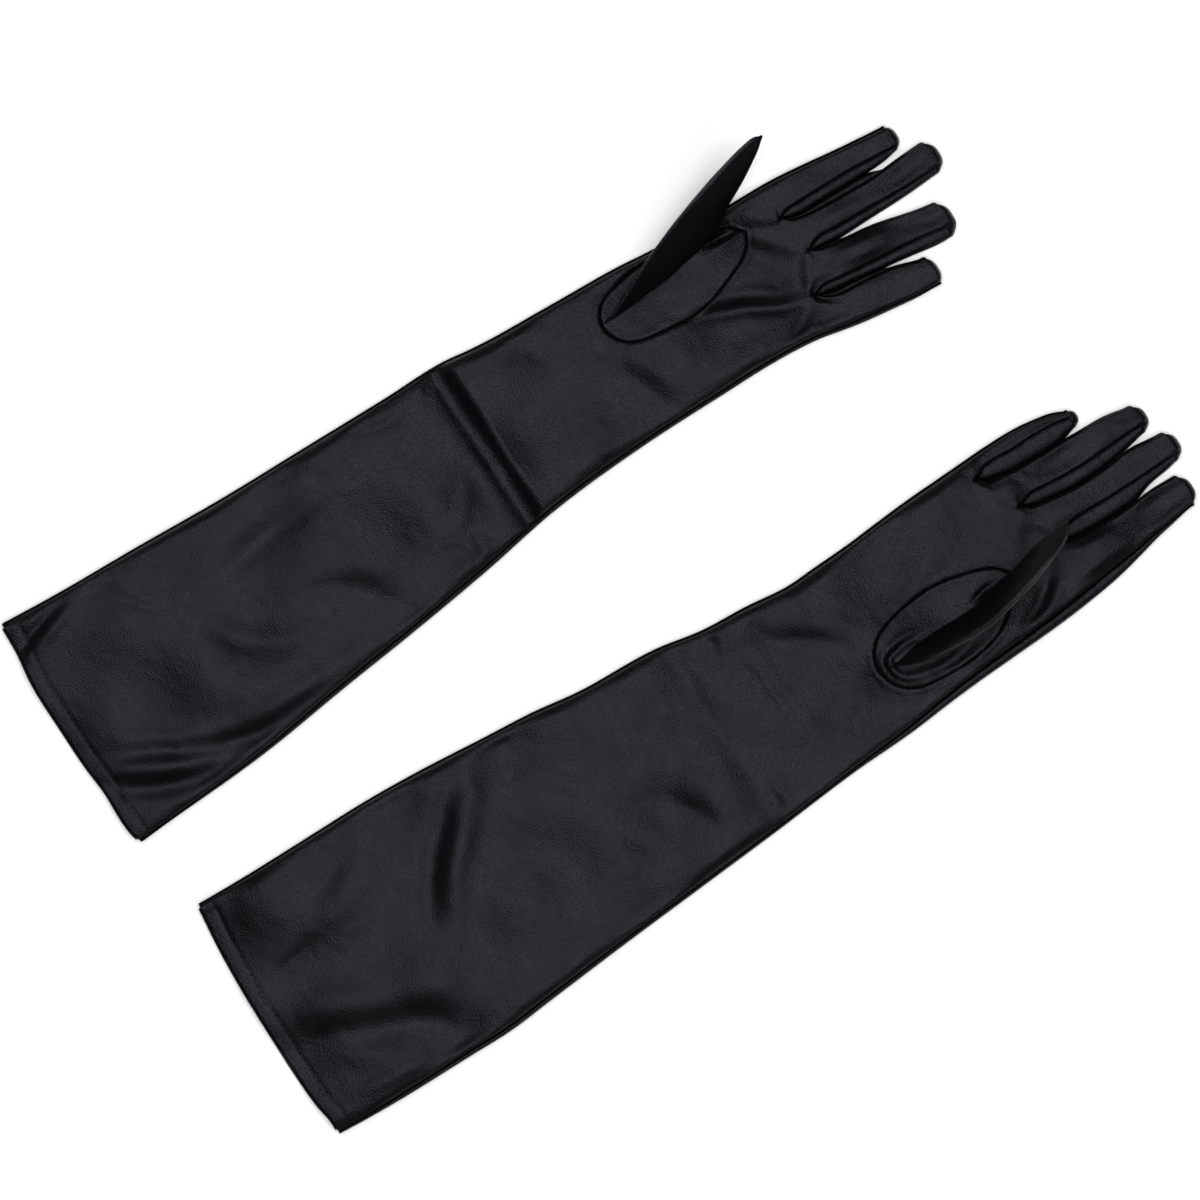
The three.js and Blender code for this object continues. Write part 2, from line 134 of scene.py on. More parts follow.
LEFT = {
    "side": "left",
    "thumb_side": 1,  # the thumb's side: 1 towards +Y, -1 towards -Y
    "crease": -10,  # x of the elbow
    "root": 168,  # x where the fingers begin to flex
    # the cuff's edge, as y and x; all other lines in the plan are x and y
    "cuff": [(26, -283), (30, -284), (62, -284.7), (75, -285.7), (100, -286), (131, -285), (142.5, -283.3),
     (162, -282)],
    "outline_low": [(-284, 27.2), (-200, 30.5), (-150, 36), (-100, 41), (-50, 47), (-10, 53), (50, 56.3),
     (100, 56), (130, 55.5), (145, 54.5), (160, 52.5), (170, 50.2), (180, 48), (190, 46.3), (200, 44.8),
     (215, 42.8), (226, 42.3)],
    "outline_high": [(-284, 162), (-250, 159.5), (-200, 157), (-150, 154), (-100, 152.5), (-50, 151),
     (-10, 150), (0, 148.4), (50, 144.5), (90, 142), (112, 139.5), (140, 138), (163, 137), (180, 136.3),
     (200, 134), (220, 131), (240, 128.5), (246, 127.8)],
    # how far the palm panel's seams lie in from the outline
    "inset_low": [(-284, 0.8), (-200, 2.2), (100, 2.4), (170, 2.4), (190, 2.6), (226, 1.0)],
    "inset_high": [(-284, 0.5), (0, 0.6), (246, 0.8)],
    # height of the palm panel along the glove
    "height": [(-284, 6.2), (-250, 8.0), (-60, 8.6), (-42, 8.2), (-27, 7.4), (-21.5, 5.6), (-17, 6.6),
     (-11.8, 10.5), (-10, 11.0), (-8.2, 10.8), (0, 9.8), (16, 8.9), (35, 8.6), (60, 8.9), (140, 9.6),
     (168, 8.6), (190, 7.6), (265, 7.2)],
    "forks": [(170, 73.5), (180.5, 94.7), (177, 117)],
    "apart": [211, 200, 231],  # x where each gap opens
    # a finger's edges beyond its forks, on the palm panel and on the back panel
    "fingers": [
        {"name": "little", "tip": 231.5, "reach": 5,
         "high": [(173, 70.5), (178, 67.7), (190, 66), (200, 65), (210, 63.5), (225, 58.8)],
         "back_high": [(173, 71.2), (178, 69.7), (190, 68), (200, 66.3), (206, 64.9), (212, 63.2),
          (225, 58.3)]},
        {"name": "ring", "tip": 253, "reach": 7,
         "low": [(175, 75), (185, 74), (195, 72.5), (210, 70.7), (230, 68.5), (246, 65.8)],
         "high": [(184, 92.8), (190, 91), (200, 89.5), (210, 88.5), (220, 86.3), (230, 83.5), (240, 81),
          (246, 79.8)],
         "back_low": [(173, 71.5), (178, 70), (190, 68.3), (200, 66.6), (206, 65.5), (212, 64.7), (225, 62.5),
          (240, 60), (246, 59.8)],
         "back_high": [(184, 92.7), (190, 91.7), (196, 90.6), (202, 88.9), (210, 87.8), (220, 85.7),
          (230, 83), (240, 80.6), (246, 79.4)]},
        {"name": "middle", "tip": 265, "reach": 7,
         "low": [(185, 97), (200, 96.7), (220, 95.8), (240, 94.8), (258, 95)],
         "high": [(180, 114), (185, 112), (190, 111), (200, 110), (210, 109.3), (230, 108.3), (245, 109.3),
          (258, 109.6)],
         "back_low": [(184, 93), (190, 92), (197, 91.3), (215, 91), (240, 90.8), (258, 91.6)],
         "back_high": [(180, 114.5), (185, 113), (200, 112.4), (220, 111.9), (230, 110.8), (238, 109),
          (245, 109), (258, 109.4)]},
        {"name": "index", "tip": 251.5, "reach": 5.5,
         "low": [(180, 118.3), (190, 118.7), (200, 118.6), (220, 118), (235, 116.6), (246, 115.6)],
         "back_low": [(180, 114.8), (185, 113.3), (200, 112.7), (220, 112.2), (240, 112.4), (246, 113.4)]},
    ],
    "oval": [(157, 121), (155, 117), (150, 111.5), (140, 106.5), (130, 103), (120, 100), (112, 98.8),
     (100, 100), (90, 101.5), (80, 103.3), (73, 107), (69, 112), (67, 118.5), (68, 124), (72, 129.7),
     (78, 133), (86, 134.6), (98, 136), (112, 136.2), (128, 135), (142, 131), (152, 126)],
    # where the thumb stands on its base, its free lower edge, and its ridge, heel to tip
    "thumb_low": [(69.8, 121, 10), (84.7, 121.9, 11), (99.6, 123.2, 11.6), (114.6, 124.8, 12),
     (129.5, 127.2, 12.4), (143.4, 130.5, 13.2), (151.2, 134.4, 16.5), (159, 138.2, 21), (168.6, 142.9, 27.5),
     (178.1, 148.2, 34), (184.8, 152.3, 39), (189.8, 156.5, 43)],
    "thumb_high": [(68.8, 121.2, 10.4), (79.6, 124.9, 15.5), (89.4, 129.3, 20), (99.2, 133.6, 24.5),
     (109, 137.7, 28.5), (118.8, 141.2, 32.5), (128.5, 144.5, 36), (138.3, 147.4, 39), (150, 150.5, 42),
     (163.7, 154.2, 44.6), (177.5, 157.3, 45.6), (185.4, 158.2, 45.2), (189.7, 156.9, 43.6)],
}

RIGHT = {
    "side": "right",
    "thumb_side": -1,
    "crease": 5,
    "root": 186,
    "cuff": [(-159, -280), (-150, -279.5), (-140, -281), (-120, -282), (-90, -281.5), (-60, -280.5),
     (-40, -279), (-17, -276)],
    "outline_low": [(-282, -158.3), (-271, -159.2), (-250, -160.5), (-200, -161.8), (-175, -162.3),
     (-150, -160.5), (-100, -157), (-50, -154), (0, -151), (50, -147.5), (90, -146.3), (110, -144.7),
     (130, -143.5), (150, -142.8), (186, -141.4), (200, -140.3), (220, -138), (240, -134), (250, -131.7),
     (260, -130), (273, -127.6)],
    "outline_high": [(-282, -17.2), (-250, -18.5), (-200, -19.5), (-175, -20), (-150, -21.5), (-100, -26.5),
     (-75, -29), (-50, -33), (0, -37), (22, -41.5), (50, -44), (75, -47), (90, -46.5), (110, -46),
     (130, -44.7), (150, -43.5), (170, -43), (186, -42.6), (200, -42.3), (220, -43), (230, -44.5), (240, -47),
     (245, -49.4)],
    "inset_low": [(-282, 1.6), (-250, 2.5), (-200, 3.0), (-100, 2.5), (0, 2.0), (50, 2.2), (100, 4.2),
     (150, 5.4), (186, 6.2), (220, 6.0), (240, 4.0), (260, 2.2), (273, 1.2)],
    "inset_high": [(-282, 0.5), (0, 0.6), (245, 0.8)],
    "height": [(-282, 6.2), (-250, 8.0), (-60, 8.8), (-20, 8.8), (-6, 8.4), (2, 7.8), (8, 8.5), (20, 8.9),
     (60, 8.9), (150, 9.6), (186, 8.6), (210, 7.6), (287, 7.2)],
    "forks": [(205, -104), (200, -78), (188.5, -53.8)],
    "apart": [252, 255, 240],
    "fingers": [
        {"name": "index", "tip": 280.3, "reach": 7,
         "high": [(208, -106), (212, -107.5), (225, -109), (250, -109.5), (260, -108.8), (273, -109.2)],
         "back_high": [(208, -106.3), (212, -107.7), (225, -109.5), (240, -109.9), (250, -109.9),
          (260, -109.2), (273, -109.6)]},
        {"name": "middle", "tip": 287, "reach": 7,
         "low": [(208, -101.5), (216, -100), (240, -100), (270, -100), (280, -99.6)],
         "high": [(203, -81), (208, -82.8), (215, -83.8), (225, -85.5), (240, -86), (265, -84.6), (275, -86),
          (280, -86.6)],
         "back_low": [(208, -106), (212, -107.4), (225, -109.2), (240, -109.6), (252, -108.9), (262, -106),
          (275, -104.4), (280, -103.4)],
         "back_high": [(203, -81.2), (208, -83.3), (215, -84.4), (225, -85.9), (240, -86.4), (255, -85.5),
          (265, -85.2), (275, -86.4), (280, -87)]},
        {"name": "ring", "tip": 280.5, "reach": 7,
         "low": [(205, -76), (215, -76.3), (225, -77.3), (240, -78), (255, -77.7), (273, -77.2)],
         "high": [(191, -57.5), (195, -59), (200, -59.8), (220, -61.6), (240, -62), (250, -62.4), (260, -63),
          (273, -65.6)],
         "back_low": [(203, -80.9), (208, -83), (215, -84.1), (225, -85.6), (240, -86.1), (255, -85),
          (265, -83.3), (273, -81.8)],
         "back_high": [(191, -57.3), (195, -59.2), (200, -60.4), (220, -61.9), (240, -62.2), (250, -62.7),
          (260, -63.3), (273, -66)]},
        {"name": "little", "tip": 250, "reach": 5,
         "low": [(192, -51.4), (200, -50.2), (210, -51), (225, -51), (240, -52.4), (245, -53.6)],
         "back_low": [(191, -57), (195, -58.9), (200, -60.1), (220, -61.6), (236, -61.7), (245, -59.4)]},
    ],
    "oval": [(175, -104), (170, -98.5), (163, -94.5), (155, -92), (145, -89.5), (135, -88.2), (125, -88.5),
     (115, -89.5), (105, -92), (97, -95.7), (92, -101), (89.3, -108), (90, -115), (93, -121.5), (98, -126.3),
     (105, -129.5), (115, -131), (125, -131.7), (135, -131.5), (145, -130), (155, -126.5), (162, -121.7),
     (169, -115.5), (174, -109.5)],
    "thumb_low": [(95.7, -110.3, 10), (107.6, -109.8, 11.2), (121.5, -110, 11.8), (137.5, -110.6, 12.2),
     (151.4, -110.6, 12.6), (159.3, -109.1, 14.5), (169, -105.8, 19.5), (178.6, -102.7, 25),
     (188.2, -99.7, 31), (197.7, -97.8, 37.5), (206.3, -97.2, 43), (211.9, -97, 47)],
    "thumb_high": [(94.7, -110.9, 10.4), (102.5, -115, 16.5), (113.1, -117.8, 24), (124.8, -119.1, 31),
     (138.4, -120.1, 37.5), (150, -119.8, 41.5), (163.7, -117.5, 45), (177.4, -114.4, 47.5),
     (190.1, -110.7, 49), (200.9, -107.7, 49.8), (207.8, -104.1, 49.8), (212.2, -98.2, 48)],
}

# Folds of the cloth: depth (a valley is positive), half width, and the line it runs along.
LEFT["folds"] = [
    (1.4, 7, [(-180, 119), (-150, 123), (-120, 126), (-90, 128)]),
    (1.1, 6, [(-195, 110), (-180, 85), (-160, 73), (-145, 72)]),
    (1.0, 6, [(-150, 90), (-130, 85), (-115, 75), (-105, 62), (-100, 52)]),
    (1.7, 4.5, [(-280, 76), (-255, 64), (-235, 52), (-200, 41), (-160, 40), (-130, 41)]),
    (3.0, 5.5, [(-286, 62), (-262, 47), (-240, 38), (-222, 35)]),
    (2.2, 3.5, [(-245, 157), (-266, 151), (-286, 144)]),
    (0.9, 3.5, [(-75, 147), (-60, 140), (-45, 139)]),
    (0.8, 3, [(-30, 140), (-25, 146)]),
    (0.8, 5.5, [(10, 138), (25, 133), (37, 115)]),
    (0.8, 4.5, [(60, 100), (70, 80), (75, 62)]),
    (0.7, 3, [(25, 68), (27, 60), (26, 56)]),
    (0.6, 3, [(-55, 66), (-54, 58), (-56, 50)]),
    (2.2, 4, [(103, 100), (120, 93), (135, 87), (150, 78), (168, 72)]),
    (1.3, 3.5, [(166, 72), (150, 62), (120, 60)]),
    (0.7, 4, [(178, 95), (165, 110), (157, 120)]),
    (0.5, 2.5, [(170, 74), (172, 84), (179, 94)]),
    (0.8, 3, [(178, 117), (168, 122), (160, 130)]),
    (0.5, 3, [(-230, 150), (-215, 130), (-205, 118)]),
    (0.5, 4, [(-120, 148), (-100, 135), (-90, 118)]),
    (0.5, 4, [(-60, 70), (-45, 80), (-35, 95)]),
    (2.2, 2.4, [(132, 126), (138, 126.3), (145, 126), (151, 124.5)]),
    (-1.2, 2.0, [(137, 122), (148, 121.6), (157, 121.2)]),
]
RIGHT["folds"] = [
    (2.8, 6.5, [(-125, -30), (-145, -50), (-165, -70), (-175, -85), (-183, -98)]),
    (1.1, 6.5, [(-180, -25), (-200, -37), (-220, -46), (-245, -52)]),
    (0.8, 4, [(-270, -73), (-230, -65)]),
    (2.8, 9, [(-272, -108), (-250, -115), (-230, -125), (-210, -133), (-197, -148)]),
    (0.6, 5, [(-262, -130), (-250, -139), (-238, -147)]),
    (1.0, 3, [(-265, -152), (-240, -153), (-218, -156)]),
    (1.1, 5, [(45, -50), (50, -65), (65, -75), (80, -87), (90, -95)]),
    (0.7, 5, [(-70, -110), (-64, -118), (-60, -125)]),
    (0.8, 5, [(-40, -105), (-31, -120), (-25, -135)]),
    (0.7, 5, [(-90, -60), (-80, -70), (-74, -80)]),
    (0.4, 2.5, [(36, -60), (37, -90), (39, -120)]),
    (-0.8, 4, [(113, -87), (125, -84), (141, -79)]),
    (0.5, 2.5, [(180, -43), (184, -48), (188, -53)]),
    (0.5, 2.2, [(203, -62), (206, -68), (210, -71)]),
    (0.5, 2.2, [(191, -69), (195, -74), (200, -78)]),
    (-0.5, 4, [(200, -82), (190, -90), (181, -100)]),
    (0.6, 3, [(194, -91), (198, -95), (205, -103)]),
    (0.7, 3, [(9, -147), (12, -138), (11, -128)]),
    (0.7, 3, [(20, -41), (24, -49), (22, -58)]),
    (0.5, 4, [(60, -130), (75, -118), (82, -104)]),
    (0.5, 5, [(-20, -60), (-35, -75), (-55, -85)]),
    (1.5, 2.0, [(108, -124), (100, -120.5), (96, -114), (97, -108), (104, -105.8), (120, -106.2)]),
    (1.8, 2.2, [(166, -104.5), (158, -105), (149, -107)]),
    (1.5, 2.6, [(102, -121), (112, -124.6), (126, -126), (142, -124)]),
    (1.6, 2.8, [(158, -130.5), (140, -135), (122, -135), (106, -133)]),
    (1.7, 3.6, [(194, -115), (188, -120), (176, -128), (164, -132)]),
]


# ---- lines and shapes

def curve(points):
    """A smooth line through points, as a function of their first coordinate."""
    x, y = np.array(points, float).T
    slope = np.gradient(y, x)

    def at(t):
        t = np.clip(t, x[0], x[-1])
        i = np.clip(np.searchsorted(x, t, side="right") - 1, 0, len(x) - 2)
        gap = x[i + 1] - x[i]
        s = (t - x[i]) / gap
        ends = y[i] * (2 * s**3 - 3 * s**2 + 1) + y[i + 1] * (3 * s**2 - 2 * s**3)
        return ends + gap * (slope[i] * (s**3 - 2 * s**2 + s) + slope[i + 1] * (s**3 - s**2))

    return at


def smooth(t):
    """0 up to 0, 1 from 1 on, and an even slope between."""
    t = np.clip(t, 0, 1)
    return t * t * (3 - 2 * t)


def bell(distance, width):
    """1 at no distance, falling away on both sides."""
    return np.exp(-((distance / width) ** 2))


def roll(distance, radius):
    """1 at an edge that curves up to level at radius, like a quarter circle."""
    q = np.clip(1 - distance / radius, 0, 1)
    return 1 - np.sqrt(1 - q * q)


def crown(distance, radius):
    """1 at an edge that a soft face rises from, level from radius on."""
    return np.clip(1 - distance / radius, 0, 1) ** 2.2


def unit(vectors):
    """The vectors made one long."""
    return vectors / np.maximum(np.linalg.norm(vectors, axis=-1, keepdims=True), 1e-9)


def path(points, spacing):
    """Evenly spaced points on a smooth curve through points, in two or three dimensions."""
    points = np.array(points, float)
    length = np.concatenate([[0], np.cumsum(np.linalg.norm(np.diff(points, axis=0), axis=1))])
    along = np.linspace(0, length[-1], max(3, int(length[-1] / spacing) + 1))
    parts = [curve(list(zip(length, points[:, axis])))(along) for axis in range(points.shape[1])]
    return np.stack(parts, axis=1)


def waves(x, y, seed, count, shortest, longest):
    """Gentle unevenness, about -1 to 1, from a few sine waves in fixed directions."""
    rng = np.random.RandomState(seed)
    total = np.zeros_like(x)
    for _ in range(count):
        angle = rng.uniform(0, math.pi)
        length = rng.uniform(shortest, longest)
        phase = rng.uniform(0, 2 * math.pi)
        along = x * math.cos(angle) + y * math.sin(angle)
        total += np.sin(2 * math.pi * along / length + phase)
    return total / math.sqrt(count)


def near_box(line, x, y, margin):
    """Which points lie within margin of the box round a line."""
    low, high = line.min(axis=0) - margin, line.max(axis=0) + margin
    return np.nonzero((x > low[0]) & (x < high[0]) & (y > low[1]) & (y < high[1]))[0]


def nearest_on(line, x, y):
    """The number of the line's nearest point to each point, and the offset and distance from it."""
    dx, dy = x[:, None] - line[:, 0], y[:, None] - line[:, 1]
    away = np.hypot(dx, dy)
    nearest = away.argmin(axis=1)
    pick = (np.arange(len(x)), nearest)
    return nearest, dx[pick], dy[pick], away[pick]


def fold_height(glove, x, y):
    """How far the folds lift the cloth at x, y: a valley, and a ridge on the left of its line."""
    lift = np.zeros_like(x)
    for depth, width, points in glove["folds"]:
        line = path(points, FOLD_SPACING)
        near = near_box(line, x, y, FOLD_MARGIN * width)
        if not len(near):
            continue
        nearest, dx, dy, away = nearest_on(line, x[near], y[near])
        run = np.gradient(line, axis=0)[nearest]
        away = away * np.where(run[:, 0] * dy - run[:, 1] * dx > 0, 1, -1)
        taper = np.sin(np.pi * np.clip(nearest / (len(line) - 1), 0.02, 0.98)) ** 0.6
        ridge = bell(away - RIDGE_AWAY * width, RIDGE_WIDTH * width)
        lift[near] -= depth * taper * (bell(away, width) - RIDGE_SHARE * ridge)
    return lift


def oval_distance(glove, x, y):
    """How far a point lies outside the seam round the thumb's base; far points are all alike."""
    line = path(glove["oval"] + glove["oval"][:1], OVAL_SPACING)
    distance = np.full(np.shape(x), FAR_OUTSIDE)
    near = near_box(line, x, y, OVAL_MARGIN)
    if not len(near):
        return distance
    nearest, dx, dy, away = nearest_on(line, x[near], y[near])
    run = np.gradient(line, axis=0)
    out = unit(np.stack([run[:, 1], -run[:, 0]], axis=1))
    out *= np.sign(((line - line.mean(axis=0)) * out).sum(axis=1, keepdims=True))
    square = dx * out[nearest, 0] + dy * out[nearest, 1]
    distance[near] = np.where(away < 2, square, np.sign(square) * away)
    return distance


# ---- plan of a glove

def prepare(glove):
    """Adds the glove's lines as functions of x, and where it folds and flexes."""
    low, high = curve(glove["outline_low"]), curve(glove["outline_high"])
    inset_low, inset_high = curve(glove["inset_low"]), curve(glove["inset_high"])
    glove["inset_low"], glove["inset_high"] = inset_low, inset_high
    glove["low"], glove["high"] = low, high
    glove["seam_low"] = lambda x: low(x) + inset_low(x)
    glove["seam_high"] = lambda x: high(x) - inset_high(x)
    glove["top"] = curve(glove["height"])
    glove["cuff_at"] = curve(glove["cuff"])
    glove["start"] = min(x for _, x in glove["cuff"])
    glove["centre"] = (low(glove["crease"]) + high(glove["crease"])) / 2
    glove["flex"] = {}
    for number, finger in enumerate(glove["fingers"]):
        x = max(fork[0] for k, fork in enumerate(glove["forks"]) if k in (number - 1, number)) + 0.5
        edges = [edge(np.array([x])) for edge in finger_edges(glove, number, "palm")]
        glove["flex"][finger["name"]] = (x, float((edges[0] + edges[1])[0] / 2))


def fork_line(glove, number, layer):
    """The line from the cuff to a fork that divides a sheet into its fingers."""
    root = glove["root"]
    low, high = (glove["seam_low"], glove["seam_high"]) if layer == "palm" else (glove["low"], glove["high"])
    fork_y = glove["forks"][number][1]
    share = (fork_y - low(root)) / (high(root) - low(root))
    return lambda x: np.where(x < root, low(x) + share * (high(x) - low(x)), fork_y)


def finger_edges(glove, number, layer):
    """The two edges of one finger's strip, all the way from the cuff."""
    finger = glove["fingers"][number]
    prefix = "" if layer == "palm" else "back_"
    outer = ("seam_low", "seam_high") if layer == "palm" else ("low", "high")

    def side(key, fork, fallback):
        if key not in finger:
            return glove[fallback]
        start = glove["forks"][fork][0]
        line, own = fork_line(glove, fork, layer), curve([glove["forks"][fork]] + finger[key])
        tuck = BACK_TUCK if key == "back_high" else 0.0
        opens = glove["apart"][fork]

        def at(x):
            tucked = tuck * smooth((x - start) / 4) * (1 - smooth((x - opens + 4) / 8))
            return np.where(x <= start, line(x), own(x) + tucked)

        return at

    return side(prefix + "low", number - 1, outer[0]), side(prefix + "high", number, outer[1])


def rows(glove, number):
    """Where the rows of one finger's strip lie: x, and the share of the way round its tip."""
    finger, root, crease = glove["fingers"][number], glove["root"], glove["crease"]
    spans = [(glove["start"], ROW), (crease - 16, CREASE_ROW), (crease + 8, ROW), (60, HAND_ROW), (root, 0)]
    sleeve = [np.arange(a, b, step) for (a, step), (b, _) in zip(spans, spans[1:])]
    sleeve = np.unique(np.round(np.concatenate(sleeve + [[root]]), 6))
    sleeve = sleeve[np.append(np.diff(sleeve) > 0.2, True)]
    forks = [fork[0] for fork in glove["forks"]]
    common = np.unique(np.concatenate([np.arange(root + 1, max(forks) + 3), forks]))
    shoulder = finger["tip"] - finger["reach"]
    straight = np.linspace(common[-1], shoulder, int((shoulder - common[-1]) / FINGER_ROW) + 1)[1:]
    x = np.concatenate([sleeve, common, straight])
    tip = np.sin(np.linspace(0, math.pi / 2, TIP_ROWS + 1)[1:])
    return np.concatenate([x, np.full(len(tip), shoulder)]), np.concatenate([np.zeros(len(x)), tip])


def strip_plan(glove, number, layer, shares):
    """x, y and tip share of one finger's strip, rows by columns, at these shares of its width."""
    x, tip = rows(glove, number)
    low, high = finger_edges(glove, number, layer)
    back_low, back_high = finger_edges(glove, number, "back")
    closing = tip**2
    near = low(x) * (1 - closing) + back_low(x) * closing
    far = high(x) * (1 - closing) + back_high(x) * closing
    middle, half = (near + far) / 2, (far - near) / 2 * (1 - TIP_NARROWING * tip**3)
    across = 2 * shares - 1
    y = middle[:, None] + half[:, None] * across[None, :]
    end = glove["fingers"][number]["reach"] * (1 - 0.62 * np.abs(across) ** 3.2)
    x = x[:, None] + tip[:, None] * end[None, :]
    cuff = glove["cuff_at"](y) - glove["start"]
    x = x + cuff * np.clip(1 - (x - glove["start"]) / CUFF_REACH, 0, 1) ** 2
    return x, y, np.broadcast_to(tip[:, None], y.shape)


def palm_height(glove, number, x, y, tip):
    """Height of the palm panel at points of one finger's strip."""
    finger, root = glove["fingers"][number], glove["root"]
    top = glove["top"](x)
    z = top.copy()
    edge = np.full_like(x, FAR_INSIDE)
    sides = zip(("low", "high"), (1, -1), finger_edges(glove, number, "palm"), (number - 1, number))
    for key, inward, line, fork in sides:
        distance = (y - glove["seam_" + key](x)) * inward
        between = (x > root) & (key in finger)
        reach = SIDE_ROLL + (FINGER_ROLL - SIDE_ROLL) * smooth((x - root) / 25)
        rolled = np.where(between, 0, roll(np.maximum(distance, 0), reach))
        seam_z = np.minimum(SEAM_Z + 0.5 * glove["inset_" + key](x), top - 0.9)
        z -= (top - seam_z) * rolled
        z -= np.where(between, 0, SEAM_VALLEY * bell(distance, 0.9))
        edge = np.minimum(edge, np.where(between, FAR_INSIDE, distance))
        if key in finger:
            start = glove["forks"][fork][0]
            distance = (y - line(x)) * inward
            fall = (GAP_DROP + bell(x - start, 4)) * smooth((x - start + 6) / 6)
            z -= fall * crown(np.maximum(distance, 0), FINGER_ROLL)
            z -= FORK_GROOVE * smooth((x - start + 3) / 3) * bell(distance, 0.6)
            edge = np.minimum(edge, distance + FAR_INSIDE * smooth((start - x) / 9))
    edge_away = np.maximum(edge, 0)
    free = smooth(edge_away / FREE_FROM)
    z += free * fold_height(glove, x, y)
    z += free * BROAD_LIFT * waves(x, y, *BROAD_WAVES)
    z += free * FINE_LIFT * waves(x, y, *FINE_WAVES)
    z += PUCKER_LIFT * np.exp(-edge_away / PUCKER_REACH) * waves(x, y * 0.2, *PUCKER_WAVES)
    from_cuff = x - glove["cuff_at"](y)
    z -= HEM_GROOVE * bell(from_cuff - HEM_DEPTH, 0.8) * free
    z += HEM_SWELL * bell(from_cuff - 3.2, 3.0) * free
    z = np.maximum(z, LOWEST)
    ending = tip**6
    return z * (1 - ending) + TIP_Z * ending


def palm_at(glove, x, y):
    """Height of the palm panel near the cuff, in whichever finger's strip a point lies."""
    z = np.zeros_like(y)
    for number in range(len(glove["fingers"])):
        low, high = finger_edges(glove, number, "palm")
        mine = (y >= low(x) - 1e-6) & (y <= high(x) + 1e-6)
        if mine.any():
            z[mine] = palm_height(glove, number, x[mine], y[mine], np.zeros(mine.sum()))
    return z


def oval_relief(glove, x, y):
    """How the seam round the thumb's base shapes the palm panel: a step, a groove and a swell."""
    oval = oval_distance(glove, x, y)
    relief = -np.where(oval > 0, 1.0 * np.exp(-oval / 0.5), 1.1 * np.exp(oval / 0.6))
    relief += 0.3 * bell(oval - 2.4, 1.3) - 0.5 * smooth(-oval / 6)
    return relief + OVAL_LIFT * np.exp(-np.abs(oval) / 3) * waves(x, y, *OVAL_WAVES)


def back_height(glove, number, x, y, tip):
    """Height of the back panel at points of one finger's strip, inside its rolled sides."""
    finger = glove["fingers"][number]
    z = np.full_like(x, CLOTH + BACK_GAP)
    sides = zip(("back_low", "back_high"), (1, -1), finger_edges(glove, number, "back"),
                (number - 1, number), (FOOT_Z, FOOT_Z - 0.8))
    for key, inward, line, fork, foot in sides:
        if key in finger:
            distance = np.maximum((y - line(x)) * inward, 0)
            grown = smooth((x - glove["forks"][fork][0]) / 6)
            z += (foot - CLOTH - BACK_GAP) * grown * np.clip(1 - distance / 3.0, 0, 1) ** 2
    return z * (1 - tip**2) + (TIP_Z - 0.5) * tip**2


# ---- sheets

def weld(points, faces, precision=0.01):
    """Joins points at the same place. Returns the numbers of those that stay, and the new faces."""
    _, first, inverse = np.unique(np.round(points / precision).astype(np.int64), axis=0,
                                  return_index=True, return_inverse=True)
    inverse = inverse.reshape(-1)
    return first, [tuple(inverse[list(face)]) for face in faces]


def grid_faces(count_rows, count_columns, start=0):
    """The quads of a grid of points."""
    i, j = np.meshgrid(np.arange(count_rows - 1), np.arange(count_columns - 1), indexing="ij")
    a = start + i * count_columns + j
    return np.stack([a, a + count_columns, a + count_columns + 1, a + 1], axis=-1).reshape(-1, 4)


def vertex_normals(points, faces):
    """Smooth normals of a mesh whose faces may have any number of corners."""
    normals = np.zeros_like(points)
    by_size = {}
    for face in faces:
        by_size.setdefault(len(face), []).append(face)
    for size, group in by_size.items():
        index = np.array(group)
        corners = points[index]
        normal = np.zeros((len(index), 3))
        for k in range(1, size - 1):
            normal += np.cross(corners[:, k] - corners[:, 0], corners[:, k + 1] - corners[:, 0])
        for k in range(size):
            np.add.at(normals, index[:, k], normal)
    return unit(normals)


def divide(points, faces, value):
    """Cuts the faces where value changes sign. Returns the points, the faces, and each one's source."""
    points = [tuple(p) for p in points]
    value = list(value)
    made, whole, sources = {}, [], []

    def crossing(a, b):
        key = (min(a, b), max(a, b))
        if key not in made:
            share = value[a] / (value[a] - value[b])
            made[key] = len(points)
            points.append(tuple(p + share * (q - p) for p, q in zip(points[a], points[b])))
            value.append(0.0)
        return made[key]

    for source, face in enumerate(faces):
        outside = [value[v] > 0 for v in face]
        if all(outside) or not any(outside):
            parts = (face,)
        else:
            parts = ([], [])
            for k, vertex in enumerate(face):
                after = (k + 1) % len(face)
                parts[0 if outside[k] else 1].append(vertex)
                if outside[k] != outside[after]:
                    new = crossing(vertex, face[after])
                    parts[0].append(new)
                    parts[1].append(new)
        for part in parts:
            if len(part) > 2:
                whole.append(tuple(part))
                sources.append(source)
    return np.array(points), whole, sources


def add_object(name, mesh):
    obj = bpy.data.objects.new(name, mesh)
    bpy.context.collection.objects.link(obj)
    return obj


